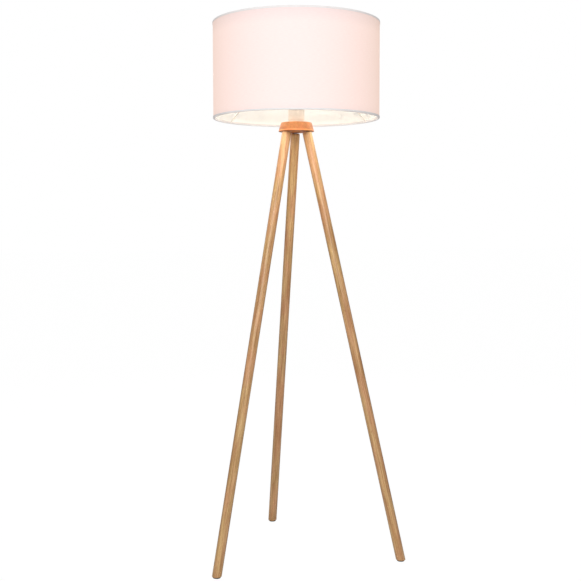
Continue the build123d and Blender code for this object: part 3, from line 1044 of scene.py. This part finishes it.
def make_camera(azimuth, towards, across):
    """The camera before the lamp, 0.9 m up and turned slightly down."""
    data = bpy.data.cameras.new("camera")
    camera = bpy.data.objects.new("camera", data)
    bpy.context.scene.collection.objects.link(camera)
    distance, aside, height = 2.685, -0.0162, 0.913
    downwards, roll = math.radians(3.91), math.radians(0.09)
    camera.location = distance * towards + aside * across + height * UP
    camera.rotation_euler = Euler((math.pi / 2 - downwards, roll, azimuth))
    data.sensor_width = 36
    data.lens = 60.83
    bpy.context.scene.camera = camera


def make_stage():
    """The camera, the room with its two softboxes, and the lamp's own light."""
    scene = bpy.context.scene
    scene.view_settings.view_transform = "Standard"
    azimuth = math.radians(-15.72)
    towards = Vector((math.sin(azimuth), -math.cos(azimuth), 0))
    across = Vector((math.cos(azimuth), math.sin(azimuth), 0))
    make_world()
    make_floor()
    make_camera(azimuth, towards, across)
    # Softboxes before and behind the lamp, 2 m up, turned to a point 1 m up its axis
    distance, height, aim, window = 2.7, 2.0, (0, 0, 1.0), (1.2, 1.4)
    front = distance * towards - 0.2 * across + height * UP
    behind = -distance * towards + height * UP
    area_light("front_softbox", front, aim, "RECTANGLE", window, 55)
    area_light("back_softbox", behind, aim, "RECTANGLE", window, 26)
    colour = scene.lamp_colours.lamplight
    globe = box("bulb_globe")[1]
    data = bpy.data.lights.new("bulb_light", "POINT")
    data.energy = 1.25
    data.color = colour
    data.shadow_soft_size = 25 * MM
    lamp = bpy.data.objects.new("bulb_light", data)
    scene.collection.objects.link(lamp)
    lamp.location = (0, 0, globe.z - globe.x)
    # What the white inside of the shade sends down on the hub and the legs
    rim, disk = box("shade_liner")[0].z, (0.4, 0.4)
    area_light("light_in_shade", (0, 0, rim + 20 * MM), (0, 0, 0), "DISK", disk, 0.42, colour)
    area_light("light_under_shade", (0, 0, rim - 30 * MM), (0, 0, 0), "DISK", disk, 0.45, colour)


# ---------------------------------------------------------------- operators


class LAMP_OT_legs(bpy.types.Operator):
    """Three round beech legs, cut level at the floor"""

    bl_idname = "lamp.legs"
    bl_label = "Legs"

    def execute(self, context):
        for place in LEGS:
            make_leg(place)
        return {"FINISHED"}


class LAMP_OT_pads(bpy.types.Operator):
    """Rubber pads under the legs"""

    bl_idname = "lamp.pads"
    bl_label = "Foot pads"

    def execute(self, context):
        # Moulded rubber: near black, matt, with a fine tooth from the mould
        rubber = even("moulded_rubber", "#2B2927", 0.8, 0.5 * MM, relief=0.2, shade=0.12)
        for place in LEGS:
            make_pad(place, rubber)
        return {"FINISHED"}


class LAMP_OT_hub(bpy.types.Operator):
    """The turned beech hub"""

    bl_idname = "lamp.hub"
    bl_label = "Hub"

    def execute(self, context):
        make_hub()
        return {"FINISHED"}


class LAMP_OT_fastenings(bpy.types.Operator):
    """Bolts, inserts, and the hollow tube with its nut and washer"""

    bl_idname = "lamp.fastenings"
    bl_label = "Fastenings"

    def execute(self, context):
        # Bright zinc plating: grey with a faint cloudiness and soft gloss
        steel = even("zinc_plated_steel", "#C4C4C2", 0.34, 0.8 * MM, metallic=1.0, relief=0.05)
        make_tube_fittings(steel)
        dress("hanger_bolts", steel)
        dress("locking_screw", steel)
        # Machined brass, with the lines of the lathe around it
        brass = even("machined_brass", "#C8A25A", 0.3, 0.5 * MM, metallic=1.0, stretch=(1, 1, 8))
        dress("hub_inserts", brass)
        return {"FINISHED"}


class LAMP_OT_holder(bpy.types.Operator):
    """The lamp holder and the contacts inside it"""

    bl_idname = "lamp.holder"
    bl_label = "Lamp holder"

    def execute(self, context):
        colours = context.scene.lamp_colours
        # Moulded PBT: warm white, satin, with a faint orange-peel
        plastic = even("moulded_white_plastic", colours.plastic, 0.42, 1.2 * MM, relief=0.04, shade=0.02)
        make_holder(plastic)
        make_clamp_ring(plastic)
        # Pressed unglazed ceramic, chalky
        dress("contact_block", even("pressed_steatite", "#E9E4D8", 0.8, 0.4 * MM, relief=0.2))
        brass = even("stamped_brass", "#C9A35C", 0.28, 1.0 * MM, metallic=1.0)
        for node in ("screw_shell", "centre_contact", "terminal_screws"):
            dress(node, brass)
        return {"FINISHED"}


class LAMP_OT_bulb(bpy.types.Operator):
    """The screw-in bulb"""

    bl_idname = "lamp.bulb"
    bl_label = "Bulb"

    def execute(self, context):
        colours = context.scene.lamp_colours
        # Moulded thermoplastic body, whiter and glossier than the holder
        plastic = even("moulded_bulb_body", colours.plastic, 0.32, 1.0 * MM, relief=0.03, shade=0.02)
        make_bulb(plastic)
        dress("bulb_cap", even("rolled_nickel_plate", "#CFCBC4", 0.25, 0.6 * MM, metallic=1.0))
        dress("bulb_insulator", even("vitrified_black_glass", "#17171A", 0.12, 0.5 * MM, relief=0.02))
        dress("bulb_tip", even("tinned_contact", "#B9B9B6", 0.45, 0.5 * MM, metallic=1.0, relief=0.2))
        dress("light_board", even("white_printed_board", "#F1EFE8", 0.5, 0.6 * MM, relief=0.03))
        return {"FINISHED"}


class LAMP_OT_shade(bpy.types.Operator):
    """The shade's cloth, its backing and the two folded hems"""

    bl_idname = "lamp.shade"
    bl_label = "Shade"

    def execute(self, context):
        colours = context.scene.lamp_colours
        # Bias-cut cotton tape, folded and glued: matt, with a thread every half millimetre
        # The glow is painted light: it stands in for the lamp's light that the folded hems let through and
        # scatter
        glow = (linear("#E2DAD8"), 0.28)
        tape = even("folded_cotton_tape", colours.hem, 0.9, 0.5 * MM, relief=0.3, shade=0.05, glow=glow)
        backing, backing_flat = make_backing()
        cloth, cloth_flat = make_cloth()
        hems = [make_hem("bottom_hem", 1, tape), make_hem("top_hem", -1, tape)]
        return {"FINISHED"}


class LAMP_OT_wires(bpy.types.Operator):
    """The shade's rings and arms"""

    bl_idname = "lamp.wires"
    bl_label = "Shade wires"

    def execute(self, context):
        # Powder coat on wire: white, satin, with the slight orange-peel of baked powder and the light
        # that is scattered inside the shade
        glow = (linear("#FFE6D2"), 0.13)
        coat = even("white_powder_coat", "#F0EDE7", 0.45, 0.8 * MM, relief=0.05, shade=0.02, glow=glow)
        make_wires(coat)
        return {"FINISHED"}


class LAMP_OT_stage(bpy.types.Operator):
    """Floor, lights and camera"""

    bl_idname = "lamp.stage"
    bl_label = "Stage"

    def execute(self, context):
        make_stage()
        return {"FINISHED"}


OPERATORS = (
    LAMP_OT_legs,
    LAMP_OT_pads,
    LAMP_OT_hub,
    LAMP_OT_fastenings,
    LAMP_OT_holder,
    LAMP_OT_bulb,
    LAMP_OT_wires,
    LAMP_OT_shade,
    LAMP_OT_stage,
)


class LAMP_PT_pieces(bpy.types.Panel):
    """Lists the pieces of the lamp"""

    bl_idname = "LAMP_PT_pieces"
    bl_label = "Floor lamp"
    bl_space_type = "VIEW_3D"
    bl_region_type = "UI"
    bl_category = "Lamp"

    def draw(self, context):
        for group in (context.scene.lamp_sizes, context.scene.lamp_colours):
            for name in group.__annotations__:
                self.layout.prop(group, name)
        for operator in OPERATORS:
            self.layout.operator(operator.bl_idname)


CLASSES = (LampSizes, LampColours, *OPERATORS, LAMP_PT_pieces)


def register():
    for kind in CLASSES:
        bpy.utils.register_class(kind)
    bpy.types.Scene.lamp_sizes = bpy.props.PointerProperty(type=LampSizes)
    bpy.types.Scene.lamp_colours = bpy.props.PointerProperty(type=LampColours)


def unregister():
    del bpy.types.Scene.lamp_colours
    del bpy.types.Scene.lamp_sizes
    for kind in reversed(CLASSES):
        bpy.utils.unregister_class(kind)


def main():
    register()
    for operator in OPERATORS:
        group, name = operator.bl_idname.split(".")
        getattr(getattr(bpy.ops, group), name)()


if __name__ == "__main__":
    main()
